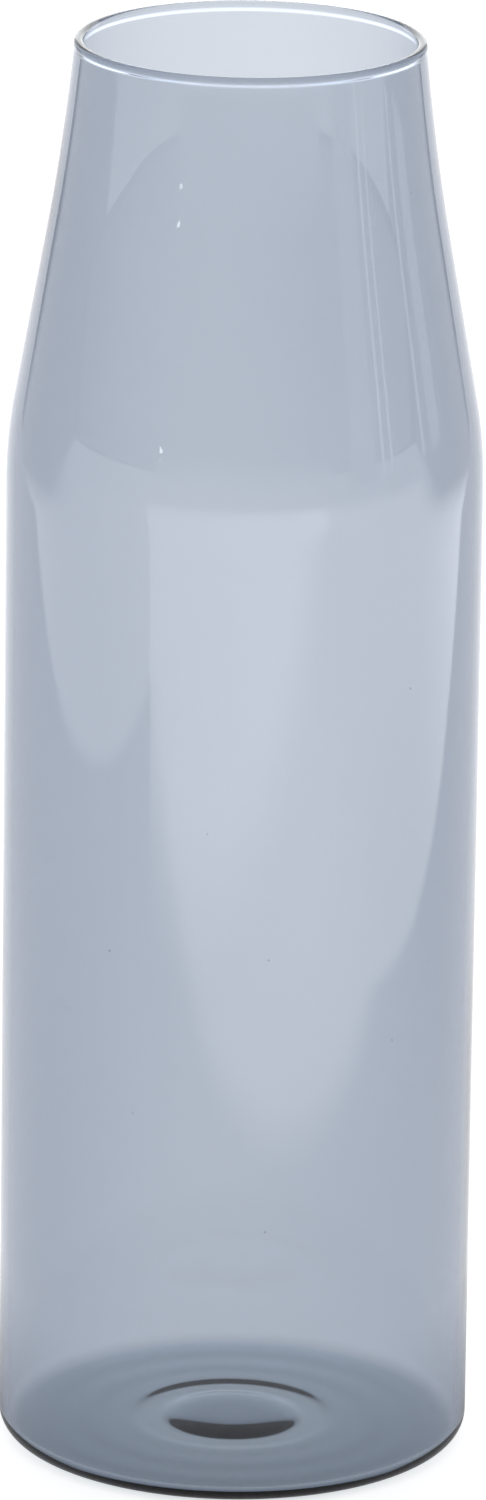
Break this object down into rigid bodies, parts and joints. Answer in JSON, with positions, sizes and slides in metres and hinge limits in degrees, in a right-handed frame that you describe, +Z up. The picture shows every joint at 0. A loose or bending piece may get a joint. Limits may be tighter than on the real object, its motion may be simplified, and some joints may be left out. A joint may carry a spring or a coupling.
{
  "type": "glass vase",
  "caption": "Tall smoke-grey blown glass vase: straight cylinder body, long tapered shoulder, open mouth with a rounded bead lip.",
  "frame": {"origin": "centre of the foot, on the plane that the vase stands on", "axes": "+Z up along the axis of revolution; X and Y are equal, because the vase is round"},
  "size_m": [0.1, 0.1, 0.305],
  "materials": {
    "smoke_glass": "clear, fire-polished, blue-grey smoke tint"
  },
  "bodies": {
    "root": {"glass_body": "smoke_glass"}
  },
  "joints": []
}
